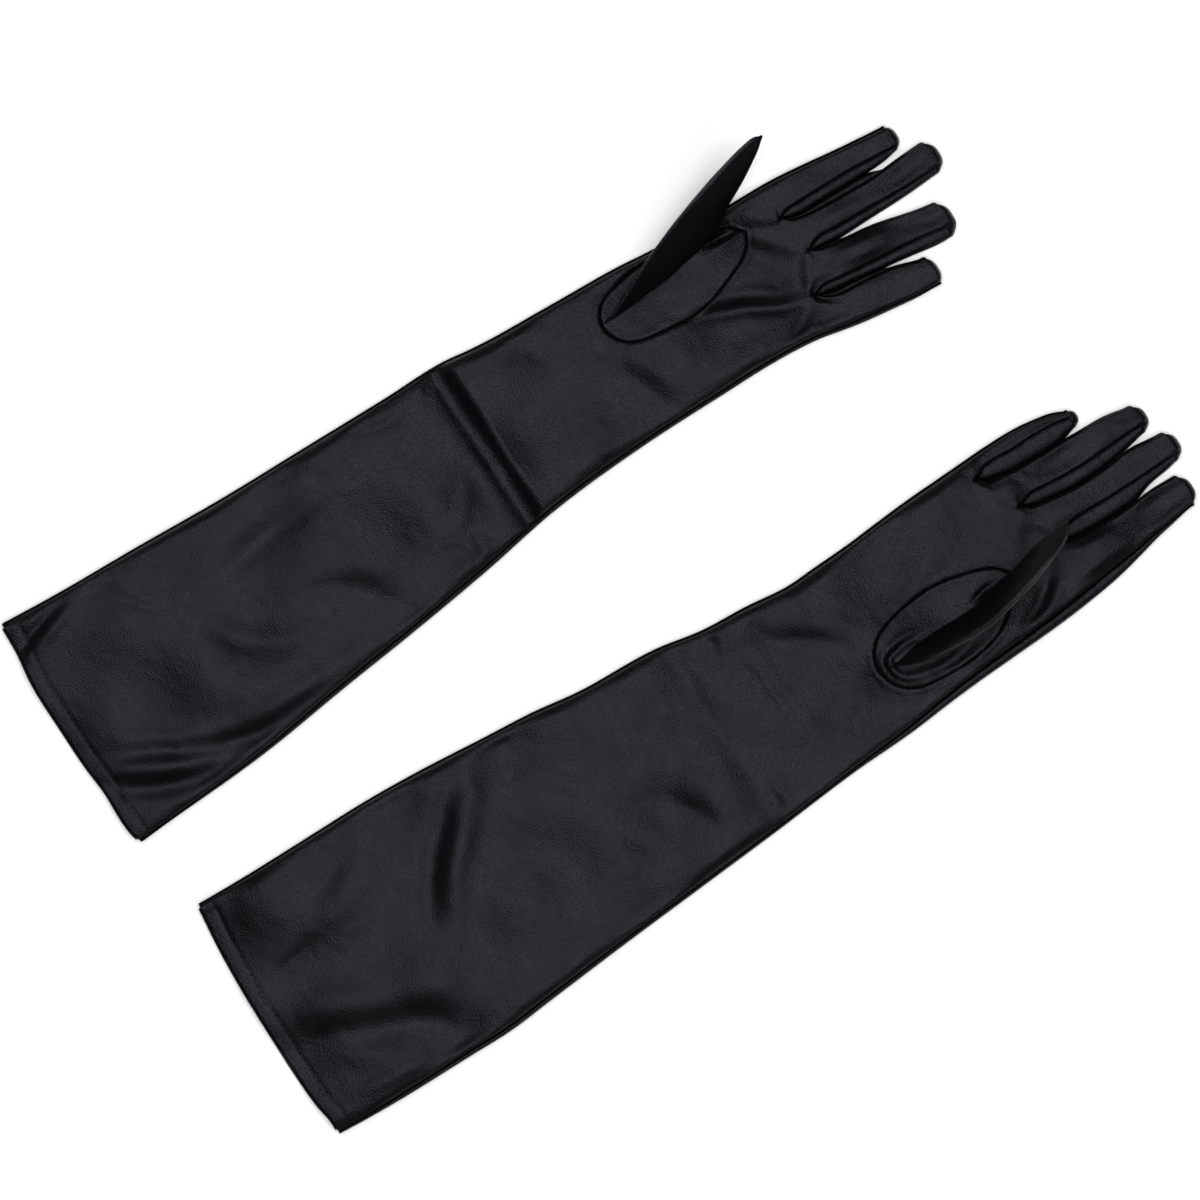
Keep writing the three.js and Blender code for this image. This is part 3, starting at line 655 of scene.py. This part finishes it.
def piece(name, points, normals, faces, material, lining, thickness=CLOTH, plan=None, joined=()):
    """A closed sheet: the outer face as given, an inner face behind it, and a rim round its edges.

    Its edges are shaded as rounded, apart from those with both ends in joined, where the cloth goes on
    in the next piece.
    """
    used, index = np.unique(np.concatenate([np.array(f) for f in faces]), return_inverse=True)
    split = np.split(index, np.cumsum([len(face) for face in faces])[:-1])
    outer = [tuple(int(v) for v in part) for part in split]
    count = len(used)
    points, normals = points[used], normals[used]
    inner_points = points - normals * thickness
    inner = [tuple(v + count for v in reversed(face)) for face in outer]
    edges = {}
    for face in outer:
        for a, b in zip(face, face[1:] + face[:1]):
            if (b, a) in edges:
                del edges[(b, a)]
            else:
                edges[(a, b)] = True
    rim = [(b, a, a + count, b + count) for a, b in edges]
    ends = np.array(list(edges))
    going_on = np.isin(used[ends], np.array(joined, int)).all(axis=1)
    out = unit(np.cross(points[ends[:, 1]] - points[ends[:, 0]], normals[ends[:, 0]]))
    away = np.zeros_like(points)
    for k in (0, 1):
        np.add.at(away, ends[~going_on, k], out[~going_on])
    rounded = unit(normals + EDGE_ROUNDING * unit(away))
    mesh = bpy.data.meshes.new(name)
    both = np.concatenate([points, inner_points]) * MM
    mesh.from_pydata(both.tolist(), [], outer + inner + rim)
    mesh.materials.append(material)
    mesh.materials.append(lining)
    slots = [0] * len(outer) + [1] * len(inner) + [0] * len(rim)
    mesh.polygons.foreach_set("material_index", slots)
    mesh.polygons.foreach_set("use_smooth", [True] * len(slots))
    corner_normals = [tuple(rounded[v]) for face in outer for v in face]
    corner_normals += [tuple(-normals[v - count]) for face in inner for v in face]
    for (a, b), outward, plain in zip(ends, out, going_on):
        near_b, near_a = (outward, outward) if plain else (rounded[b], rounded[a])
        corner_normals += [tuple(near_b), tuple(near_a), tuple(outward), tuple(outward)]
    uv = mesh.uv_layers.new(name="plan")
    flat = points[:, :2] if plan is None else plan[used]
    flat = np.concatenate([flat, flat]) * MM
    loops = np.zeros(len(mesh.loops), int)
    mesh.loops.foreach_get("vertex_index", loops)
    uv.data.foreach_set("uv", flat[loops].astype(np.float32).ravel())
    mesh.validate(clean_customdata=False)
    mesh.normals_split_custom_set(corner_normals)
    return add_object(name, mesh)


# ---- fabric

def fill(node, settings):
    """Sets the inputs of a node."""
    for name, value in settings.items():
        node.inputs[name].default_value = value


def add_node(tree, kind, settings, **sources):
    """A new node with its inputs set, and each source joined to the input of that name."""
    node = tree.nodes.new("ShaderNode" + kind)
    fill(node, settings)
    for name, output in sources.items():
        tree.links.new(output, node.inputs[name])
    return node


def new_material(name, settings):
    """A material, its node tree, and its shader with its inputs set."""
    material = bpy.data.materials.new(name)
    material.use_nodes = True
    shader = material.node_tree.nodes["Principled BSDF"]
    fill(shader, settings)
    return material, material.node_tree, shader


def cloth_plan(tree):
    """Where a point lies on its cloth, in metres."""
    place = tree.nodes.new("ShaderNodeUVMap")
    place.uv_map = "plan"
    return place.outputs["UV"]


def coated_fabric(name, shade, rough):
    """Black coated fabric: a soft, slightly blue sheen over a fine pressed grain."""
    material, tree, shader = new_material(name, {
        "Base Color": (shade, shade, shade * 1.3, 1), "IOR": 1.14, "Specular IOR Level": 1.0,
        "Specular Tint": (0.86, 0.87, 1, 1)})
    plan = cloth_plan(tree)
    pebbles = add_node(tree, "TexVoronoi", {"Scale": 1300}, Vector=plan)
    fine = add_node(tree, "TexNoise", {"Scale": 900, "Detail": 3}, Vector=plan)
    broad = add_node(tree, "TexNoise", {"Scale": 45, "Detail": 4}, Vector=plan)
    sheen = add_node(tree, "MapRange", {"From Min": 0.3, "From Max": 0.7, "To Min": rough - 0.05,
                                        "To Max": rough + 0.06}, Value=broad.outputs["Fac"])
    relief = add_node(tree, "Math", {})
    relief.operation = "ADD"
    tree.links.new(pebbles.outputs["Distance"], relief.inputs[0])
    tree.links.new(fine.outputs["Fac"], relief.inputs[1])
    grain = add_node(tree, "Bump", {"Strength": 0.85, "Distance": 0.0002}, Height=relief.outputs["Value"])
    bump = add_node(tree, "Bump", {"Strength": 0.15, "Distance": 0.0012}, Height=broad.outputs["Fac"],
                    Normal=grain.outputs["Normal"])
    tree.links.new(sheen.outputs["Result"], shader.inputs["Roughness"])
    tree.links.new(bump.outputs["Normal"], shader.inputs["Normal"])
    return material


def ribbed(name, settings, wave, strength, distance, on_plan):
    """A dull material with fine ribs, laid on the plan of its cloth or on the object."""
    material, tree, shader = new_material(name, settings)
    place = cloth_plan(tree) if on_plan else add_node(tree, "TexCoord", {}).outputs["Object"]
    ribs = add_node(tree, "TexWave", wave, Vector=place)
    bump = add_node(tree, "Bump", {"Strength": strength, "Distance": distance}, Height=ribs.outputs["Fac"])
    tree.links.new(bump.outputs["Normal"], shader.inputs["Normal"])
    return material


SHELL = coated_fabric("coated fabric", 0.0011, 0.35)
GUSSET = coated_fabric("coated fabric gusset", 0.001, 0.36)
HEM = coated_fabric("coated fabric hem", 0.0011, 0.37)
# the knitted side of the cloth, inside the glove, and a twisted thread that is duller than the fabric
LINING = ribbed("knit lining", {"Base Color": (0.006, 0.006, 0.0065, 1), "Roughness": 0.9,
                                "Specular IOR Level": 0.15},
                {"Scale": 260, "Distortion": 1.5}, 0.5, 0.0002, True)
THREAD = ribbed("sewing thread", {"Base Color": (0.003, 0.003, 0.0032, 1), "Roughness": 0.8,
                                  "Specular IOR Level": 0.05}, {"Scale": 900}, 0.4, 0.0001, False)


# ---- pieces, and the bodies that some of them hang on

def moved(glove, obj, part, node):
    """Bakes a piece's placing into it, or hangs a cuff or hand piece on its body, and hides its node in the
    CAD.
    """
    side = glove["side"]
    sleeve, hand = side + "_sleeve", side + "_hand"
    if part == "sleeve":
        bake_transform(obj)
    elif part == "cuff":
        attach(obj, sleeve)
    elif part == "hand":
        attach(obj, hand)
    elif part == "finger":
        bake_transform(obj)
    elif part == "thumb":
        start = Vector(glove["thumb_low"][3]) * MM
        start.z = 0.0105
        up = Vector(glove["thumb_high"][4]) * MM - start
        up.x = 0
        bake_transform(obj)
    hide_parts(node)


def strip_shares():
    """The columns of a strip as shares of its width, closer together at its edges."""
    even = np.linspace(0, 1, COLUMNS // 2 + 1) ** 1.5 / 2
    return np.concatenate([even, 1 - even[::-1][1:]])


def layer_grid(glove, number, layer, shares):
    """Points of one finger's strip of a layer, rows by columns."""
    height = palm_height if layer == "palm" else back_height
    x, y, tip = strip_plan(glove, number, layer, shares)
    z = height(glove, number, x.ravel(), y.ravel(), tip.ravel()).reshape(x.shape)
    return np.stack([x, y, z], axis=-1)


def back_strip(glove, number):
    """One finger's strip of the back panel, with its side rolled up to the seam of an outer finger."""
    finger, tip = glove["fingers"][number], rows(glove, number)[1]
    grid = layer_grid(glove, number, "back", strip_shares())
    palm_edges = layer_grid(glove, number, "palm", np.array([0.0, 1.0]))
    for column, key in ((0, "low"), (-1, "high")):
        if key in finger:
            continue
        seam = palm_edges[:, column]
        line, other = grid[:, column].copy(), grid[:, -1 - column]
        width = np.linalg.norm((other - line)[:, :2], axis=1, keepdims=True)
        inward = (other - line) / np.maximum(width, 1e-6)
        apart = np.linalg.norm((seam - line)[:, :2], axis=1, keepdims=True)
        short = np.maximum(1 - SEAM_GAP / np.maximum(apart, 0.1), 0.1)
        seam[:, :2] = line[:, :2] + (seam - line)[:, :2] * short
        rolled = []
        for share, height, inset in SIDE:
            place = line + (seam - line) * share + inward * np.minimum(inset, width * 0.2)
            place[:, 2] = seam[:, 2] * height * (1 - tip**2) + (seam[:, 2] - 0.4) * tip**2
            rolled.append(place)
        inner = line + inward * np.minimum(3.0, width * 0.3)
        spread = np.linspace(0, 1, COLUMNS // 2 + 1)[:-1]
        body = inner[:, None] + (other - inner)[:, None] * spread[None, :, None]
        body = np.concatenate([body, other[:, None]], axis=1)
        tips = np.broadcast_to(tip[:, None], body.shape[:2])
        body[..., 2] = back_height(glove, number, body[..., 0].ravel(), body[..., 1].ravel(),
                                   tips.ravel()).reshape(tips.shape)
        grid = np.concatenate([np.stack(rolled, axis=1), body], axis=1)
        if column == -1:
            grid = grid[:, ::-1]
    return grid


def strip_sheet(glove, layer):
    """All four fingers' strips of one layer: points, faces, and the finger and x of each face."""
    points, faces, owners = [], [], []
    count = 0
    for number in range(len(glove["fingers"])):
        if layer == "palm":
            grid = layer_grid(glove, number, layer, strip_shares())
        else:
            grid = back_strip(glove, number)
        x = rows(glove, number)[0]
        owners += [(number, value) for value in np.repeat((x[:-1] + x[1:]) / 2, grid.shape[1] - 1)]
        points.append(grid.reshape(-1, 3))
        faces.append(grid_faces(*grid.shape[:2], start=count))
        count += len(points[-1])
    points = np.concatenate(points)
    stay, welded = weld(points, np.concatenate(faces))
    points = points[stay]
    whole = {}
    for face, owner in zip(welded, owners):
        corners = tuple(dict.fromkeys(int(v) for v in face))
        if len(corners) > 2:
            whole.setdefault(frozenset(corners), (corners, owner))
    faces, owners = [face for face, _ in whole.values()], [owner for _, owner in whole.values()]
    if layer == "palm":
        for level in OVAL_LINES:
            value = oval_distance(glove, points[:, 0], points[:, 1]) - level
            value[np.abs(value) < 0.02] = 0.02
            points, faces, sources = divide(points, faces, value)
            owners = [owners[source] for source in sources]
        points[:, 2] += oval_relief(glove, points[:, 0], points[:, 1])
    return points, faces, owners


def side_wall(glove, number, is_low):
    """The fourchette on one side of a finger: a strip from the palm face's edge to the back's."""
    fork = glove["forks"][number - 1 if is_low else number][0]
    grown = rows(glove, number)[0] >= fork - 0.01
    edge = np.array([0.0 if is_low else 1.0])
    top, foot = (layer_grid(glove, number, layer, edge)[grown][:, 0] for layer in ("palm", "back"))
    share = (1 - np.cos(np.linspace(0, math.pi, WALL_COLUMNS))) / 2
    width = np.linalg.norm(foot - top, axis=1)[:, None]
    top = top + (foot - top) * np.minimum(0.3, SEAM_GAP / np.maximum(width, 1e-6))
    grid = top[:, None] + (foot - top)[:, None] * share[None, :, None]
    fall = 0.12 * share + 0.88 * share**5
    grid[:, :, 2] = top[:, 2:] + (foot - top)[:, 2:] * fall[None, :]
    grid[:, :, 2] -= 0.4 * np.minimum(1.0, width / 5) * bell(share[None, :] * width, 0.7)
    faces = grid_faces(len(grid), WALL_COLUMNS)
    return grid.reshape(-1, 3), faces[:, ::-1] if is_low else faces


def in_slot(glove, point):
    """Whether a point lies over the way from the hand into the thumb."""
    line = path([p[:2] for p in glove["thumb_low"][1:6]], 2)
    away = np.hypot(line[:, 0] - point[0], line[:, 1] - point[1] + SLOT_AWAY * glove["thumb_side"])
    return away.min() < SLOT_HALF


def cut_pieces(glove, points, normals, faces, owners, layer):
    """Divides a sheet where the glove bends and at the oval, and makes the pieces."""
    side, fold_end = glove["side"], glove["crease"] + 14
    groups = {}
    for face, (number, x) in zip(faces, owners):
        if x > glove["root"]:
            key = ("finger", glove["fingers"][number]["name"])
        else:
            key = ("hand" if x > fold_end else "sleeve", None)
        groups.setdefault(key, []).append(face)
    uses = np.zeros(len(points), int)
    for group in groups.values():
        uses[sorted({v for face in group for v in face})] += 1
    shared = np.nonzero(uses > 1)[0]
    for (part, finger), group in groups.items():
        node = f"{side}_{finger}_{layer}_face" if finger else f"{side}_{part}_{layer}_panel"
        sheets = [(node, group)]
        if part == "hand" and layer == "palm":
            centres = np.array([points[list(face)].mean(axis=0) for face in group])
            oval = oval_distance(glove, centres[:, 0], centres[:, 1])
            outside = [face for face, out in zip(group, oval > OVAL_EDGE) if out]
            inside = [face for face, centre, within in zip(group, centres, oval < -OVAL_EDGE)
                      if within and not in_slot(glove, centre)]
            sheets = [(node, outside), (side + "_thumb_base", inside)]
        for name, cut in sheets:
            obj = piece(name, points, normals, cut, SHELL, LINING, joined=shared)
            moved(glove, obj, part, name)


# ---- thumb

def along_line(points, along):
    """Points at shares of the way along a smooth line through points."""
    line = path(points, 1.0)
    return np.stack([np.interp(along, np.linspace(0, 1, len(line)), line[:, k]) for k in range(3)], 1)


def thumb_grid(glove, outer):
    """One half of the thumb, from its foot on the base up to the ridge seam, and its plan."""
    along = np.linspace(0, 1, THUMB_ROWS)
    a, b = along_line(glove["thumb_low"], along), along_line(glove["thumb_high"], along)
    w = 1 - (1 - np.linspace(0, 1, THUMB_COLUMNS)) ** 1.8
    grid = a[:, None] + (b - a)[:, None] * w[None, :, None]
    width = np.linalg.norm(b - a, axis=1)
    out = unit(np.cross(unit(np.gradient((a + b) / 2, axis=0)), unit(b - a)))
    side = (-1 if outer else 1) * glove["thumb_side"]
    fullness, spread = (3.0, 1.6) if outer else (1.2, 0.7)
    half = fullness * np.minimum(1, 0.04 * width + 0.1)
    # where the foot is sewn to the base the half stands open, and beyond it is closed
    free = smooth((along - 0.55) / 0.15)
    closed = np.sin(math.pi * w)[None, :] ** 0.85
    standing = (1 - w[None, :] ** 2.4) ** 0.9
    belly = standing * (1 - free[:, None]) + closed * free[:, None]
    ends = (smooth(along / 0.05) * smooth((1 - along) / 0.03))[:, None]
    swell = half[:, None] * belly * ends
    seed, *shape = THUMB_WAVES
    ripple = waves(grid[..., 0].ravel(), grid[..., 2].ravel() * 1.4, seed + outer, *shape)
    swell = swell * (1 + 0.2 * ripple.reshape(swell.shape))
    # the piping of the ridge seam, and a second fold beside it near the tip
    from_ridge = (1 - w[None, :]) * width[:, None]
    lean = np.clip((b - a)[:, 2] / np.maximum(np.hypot((b - a)[:, 0], (b - a)[:, 1]), 1e-6), 0.6, 1.8)
    bead = np.where(from_ridge < 1.0, from_ridge, smooth(1 - (from_ridge - 1.0) / 1.6)) * lean[:, None] * 0.85
    second = 0.4 * np.sqrt(np.clip(1 - ((from_ridge - 3.0) / 0.8) ** 2, 0, 1))
    second = second * smooth((along - 0.8) / 0.06)[:, None]
    swell = swell + ends * (bead + second)
    grid = grid + side * swell[..., None] * out[:, None, :]
    flare = np.exp(-w[None, :] / 0.10) * (1 - free[:, None])
    grid = grid + side * spread * flare[..., None] * out[:, None, :]
    grid[..., 2] -= 1.8 * flare
    length = np.concatenate([[0], np.cumsum(np.linalg.norm(np.diff(b, axis=0), axis=1))])
    plan = np.stack(np.broadcast_arrays(length[:, None], w[None, :] * width[:, None]), axis=-1)
    return grid, plan.reshape(-1, 2)


def add_thumb(glove):
    """The two halves of the thumb, each facing away from the other."""
    for outer in (False, True):
        grid, plan = thumb_grid(glove, outer)
        points = grid.reshape(-1, 3)
        faces = grid_faces(*grid.shape[:2])
        normals = vertex_normals(points, faces)
        outward = glove["thumb_side"] if outer else -glove["thumb_side"]
        if normals[len(normals) // 2][1] * outward < 0:
            faces = faces[:, ::-1]
            normals = -normals
        node = glove["side"] + ("_thumb_outer_half" if outer else "_thumb_inner_half")
        obj = piece(node, points, normals, faces, SHELL, LINING, plan=plan)
        moved(glove, obj, "thumb", node)


# ---- hem

def hem_band(glove):
    """The turned hem: it wraps the cuff's edge and lies inside it, on the palm and the back panel."""
    share = np.linspace(0, 1, 4 * COLUMNS + 1)
    start = np.full_like(share, glove["start"])
    low, high = glove["seam_low"](start), glove["seam_high"](start)
    # across the palm panel and then back across the back panel, as one loop round the mouth
    palm_y, back_y = (low + (high - low) * (0.012 + 0.976 * line) for line in (share, share[::-1]))
    rings = []
    for depth, inset in HEM_SECTION:
        proud = 0.05 if inset == 0 else 0
        cuff = glove["cuff_at"](palm_y)
        palm_z = palm_at(glove, np.maximum(cuff + depth, cuff), palm_y) + proud - inset
        rings.append(np.stack([cuff + depth, palm_y, np.maximum(palm_z, HEM_LOWEST)], axis=1))
        cuff = glove["cuff_at"](back_y)
        back_z = back_height(glove, 0, np.maximum(cuff + depth, cuff), back_y, np.zeros_like(back_y))
        rings.append(np.stack([cuff + depth, back_y, back_z - proud + inset * 0.9], axis=1))
    points = np.concatenate(rings)
    around = 2 * len(share)
    last = len(points) - around
    faces = []
    for row in range(0, last, around):
        for j in range(around):
            k = (j + 1) % around
            faces.append((row + j, row + k, row + around + k, row + around + j))
    normals = vertex_normals(points, faces)
    if normals[last + 2 * COLUMNS][2] > 0:
        faces = [face[::-1] for face in faces]
        normals = -normals
    node = glove["side"] + "_cuff_hem"
    moved(glove, piece(node, points, normals, faces, HEM, HEM, thickness=HEM_THICKNESS), "cuff", node)


def stitches(glove):
    """The hem's stitch line: short raised threads across the palm panel and the back panel."""
    verts, faces = [], []
    start = np.array([glove["start"]])
    low, high = glove["seam_low"](start)[0], glove["seam_high"](start)[0]
    turns = [2 * math.pi * k / THREAD_SIDES for k in range(THREAD_SIDES)]
    for layer in ("palm", "back"):
        for centre in np.arange(low + 3.0, high - 3.0, STITCH_PITCH):
            y = np.array([centre - STITCH / 2, centre - STITCH / 6, centre + STITCH / 6, centre + STITCH / 2])
            x = glove["cuff_at"](y) + HEM_DEPTH
            if layer == "palm":
                z = palm_at(glove, x, y) + 0.10
            else:
                z = back_height(glove, 0, x, y, np.zeros(4)) - CLOTH + 0.02
            base = len(verts)
            for k, (radius, rise) in enumerate(STITCH_SECTION):
                rise = rise if layer == "palm" else -rise
                verts += [(x[k] + radius * math.cos(turn), y[k], z[k] + rise + radius * math.sin(turn))
                          for turn in turns]
            last = len(verts) - THREAD_SIDES
            for ring in range(base, last, THREAD_SIDES):
                for a in range(THREAD_SIDES):
                    b, above = (a + 1) % THREAD_SIDES, ring + THREAD_SIDES
                    faces.append((ring + a, above + a, above + b, ring + b))
            faces.append(tuple(base + a for a in range(THREAD_SIDES)))
            faces.append(tuple(last + a for a in reversed(range(THREAD_SIDES))))
    name = glove["side"] + "_hem_thread"
    mesh = bpy.data.meshes.new(name)
    mesh.from_pydata((np.array(verts) * MM).tolist(), [], faces)
    mesh.materials.append(THREAD)
    mesh.polygons.foreach_set("use_smooth", [True] * len(mesh.polygons))
    moved(glove, add_object(name, mesh), "cuff", name)


# ---- the pair

def add_glove(glove):
    """All the pieces of one glove."""
    prepare(glove)
    for layer in ("palm", "back"):
        points, faces, owners = strip_sheet(glove, layer)
        if layer == "back":
            faces = [face[::-1] for face in faces]
        cut_pieces(glove, points, vertex_normals(points, faces), faces, owners, layer)
    for number, finger in enumerate(glove["fingers"]):
        for is_low, key in ((True, "back_low"), (False, "back_high")):
            if key in finger:
                points, faces = side_wall(glove, number, is_low)
                towards = "little" if is_low == (glove["thumb_side"] > 0) else "thumb"
                node = f"{glove['side']}_{finger['name']}_fourchette_{towards}_side"
                obj = piece(node, points, vertex_normals(points, faces), faces, GUSSET, LINING)
                moved(glove, obj, "finger", node)
    add_thumb(glove)
    hem_band(glove)
    stitches(glove)


for pair_member in (LEFT, RIGHT):
    add_glove(pair_member)


# ---- floor, light and camera

def soft_light(name, place, size, power):
    """A soft box that faces the middle of the pair."""
    light = bpy.data.lights.new(name, "AREA")
    light.shape = "RECTANGLE"
    light.size, light.size_y = size
    light.energy = power
    lamp = add_object(name, light)
    lamp.location = place
    lamp.rotation_euler = (Vector() - Vector(place)).to_track_quat("-Z", "Y").to_euler()


def set_world(scene):
    """A pale studio: light towards the horizon, dark overhead."""
    world = bpy.data.worlds.new("studio")
    scene.world = world
    world.use_nodes = True
    tree = world.node_tree
    place = add_node(tree, "TexCoord", {})
    direction = add_node(tree, "SeparateXYZ", {}, Vector=place.outputs["Generated"])
    walls = add_node(tree, "MapRange", {"From Min": 0.25, "From Max": 0.65, "To Min": 0.28, "To Max": 0.02},
                     Value=direction.outputs["Z"])
    background = tree.nodes["Background"]
    fill(background, {"Color": (1, 1, 1, 1)})
    tree.links.new(walls.outputs["Result"], background.inputs["Strength"])


def add_floor():
    """A pale matt surface under the gloves."""
    bpy.ops.mesh.primitive_plane_add(size=6)
    floor = bpy.context.object
    floor.name = "floor"
    paper, *_ = new_material("white paper", {
        "Base Color": (0.74, 0.74, 0.74, 1), "Roughness": 0.9, "Specular IOR Level": 0.1,
        "Emission Color": (1, 1, 1, 1), "Emission Strength": 0.02})
    floor.data.materials.append(paper)


def add_camera(scene):
    """A camera straight above the pair, turned so that the gloves lie across the picture."""
    camera = bpy.data.cameras.new("camera")
    camera.lens = LENS
    camera.sensor_width = SENSOR
    camera.clip_end = 20
    view = add_object("camera", camera)
    right, up = Vector((0.8368, -0.5476, 0)), Vector((0.5476, 0.8368, 0))
    back = right.cross(up)
    view.location = Vector((-0.0125, 0.0013, 0)) + back * (FIELD * camera.lens / camera.sensor_width)
    view.rotation_euler = Matrix((right, up, back)).transposed().to_euler()
    scene.camera = view


stage_scene = bpy.context.scene
stage_scene.view_settings.view_transform = "Standard"
stage_scene.view_settings.look = "None"
set_world(stage_scene)
add_floor()
soft_light("upper box", (-0.1, 1.1, 1.9), (1.5, 0.4), 17)
soft_light("ceiling box", (0, 0, 2.3), (1.9, 1.2), 56)
soft_light("lower box", (0.1, -1.1, 1.9), (1.5, 0.4), 17)
add_camera(stage_scene)
